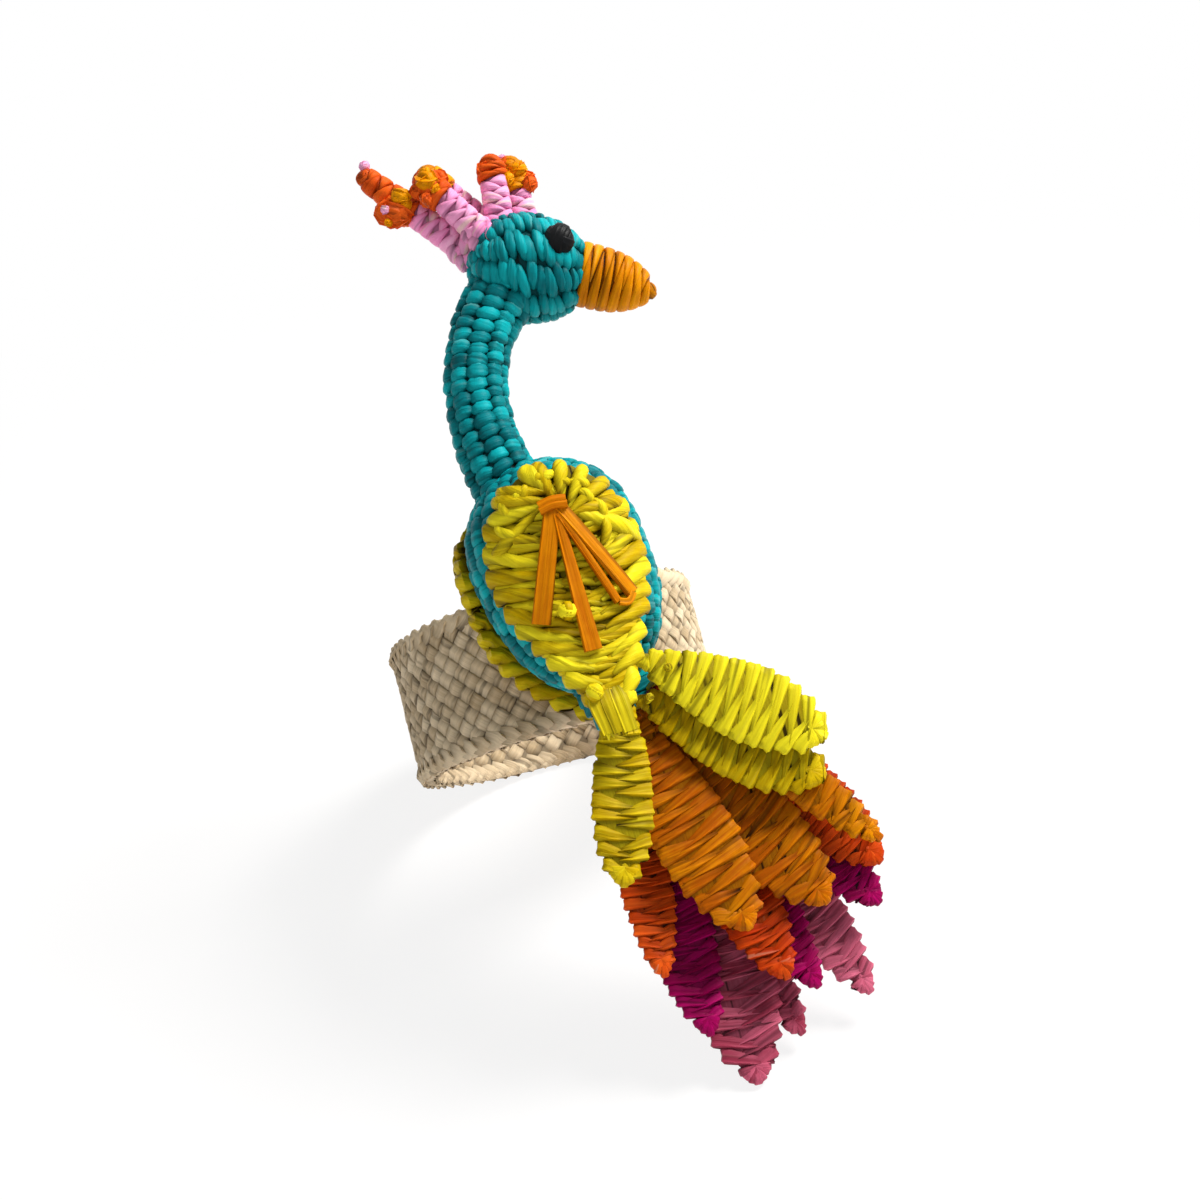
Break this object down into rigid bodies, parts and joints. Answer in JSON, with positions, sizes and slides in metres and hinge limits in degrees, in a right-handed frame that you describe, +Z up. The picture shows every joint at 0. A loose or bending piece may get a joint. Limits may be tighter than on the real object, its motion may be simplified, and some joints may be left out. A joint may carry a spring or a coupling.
{
  "type": "peacock napkin ring",
  "caption": "Peacock of wrapped and sewn palm straw, fixed to a woven napkin ring, leaning back on the ring's rim and its tail, with loose tail covert feathers.",
  "frame": {"origin": "on the floor, below the middle of the standing figure's box", "axes": "+Z up, +X towards the beak's side, +Y back towards the ring"},
  "size_m": [0.0612, 0.1058, 0.1142],
  "materials": {
    "straw_teal": "dyed palm straw, satin",
    "straw_lime": "dyed palm straw, satin",
    "straw_amber": "dyed palm straw, satin",
    "straw_orange": "dyed palm straw, satin",
    "straw_magenta": "dyed palm straw, satin",
    "straw_rose": "dyed palm straw, satin",
    "straw_pink": "dyed palm straw, satin",
    "straw_cream": "undyed palm straw, matt",
    "straw_black": "dyed palm straw, satin",
    "stuffing": "loose straw, matt"
  },
  "bodies": {
    "bird": {"ring_band": "straw_cream", "ring_lining": "straw_cream", "ring_upper_rim": "straw_cream", "ring_lower_rim": "straw_cream", "ring_stitches": "straw_teal", "body_skin": "straw_teal", "neck_skin": "straw_teal", "head_skin": "straw_teal", "tail_tongue": "straw_teal", "body_core": "stuffing", "neck_core": "stuffing", "head_core": "stuffing", "beak_core": "stuffing", "near_eye": "straw_black", "far_eye": "straw_black", "crest_stem_1": "straw_pink", "crest_stem_2": "straw_pink", "crest_stem_3": "straw_pink", "crest_stem_4": "straw_pink", "crest_stem_5": "straw_pink", "crest_tip_1": "straw_orange", "crest_tip_2": "straw_orange", "crest_tip_4": "straw_orange", "orange_feather_1": "straw_orange", "orange_feather_2": "straw_orange", "orange_feather_3": "straw_orange", "beak_wrap": "straw_amber", "crest_tip_3": "straw_amber", "crest_tip_5": "straw_amber", "near_wing_straps": "straw_amber", "amber_feather_1": "straw_amber", "amber_feather_2": "straw_amber", "amber_feather_3": "straw_amber", "near_wing": "straw_lime", "far_wing": "straw_lime", "near_wing_knots": "straw_lime", "tail_stitch_left": "straw_lime", "tail_stitch_mid": "straw_lime", "tail_stitch_right": "straw_lime", "magenta_feather_1": "straw_magenta", "magenta_feather_2": "straw_magenta", "magenta_feather_3": "straw_magenta", "pink_feather_1": "straw_rose", "pink_feather_2": "straw_rose", "pink_feather_3": "straw_rose"},
    "left_cover": {"cover_feather_1": "straw_lime"},
    "right_cover": {"cover_feather_2": "straw_lime"},
    "lower_cover": {"cover_feather_3": "straw_lime"}
  },
  "joints": [
    {"name": "left_cover_swing", "type": "hinge", "parent": "bird", "child": "left_cover", "pos_m": [-0.00275, -0.01614, 0.04447], "axis": [0, 0.7518, -0.6593], "range_deg": [-8, 8]},
    {"name": "right_cover_swing", "type": "hinge", "parent": "bird", "child": "right_cover", "pos_m": [0.00495, -0.01449, 0.04635], "axis": [0, 0.7518, -0.6593], "range_deg": [-8, 8]},
    {"name": "lower_cover_swing", "type": "hinge", "parent": "bird", "child": "lower_cover", "pos_m": [0.00125, -0.0168, 0.04372], "axis": [0, 0.7518, -0.6593], "range_deg": [-8, 8]}
  ]
}
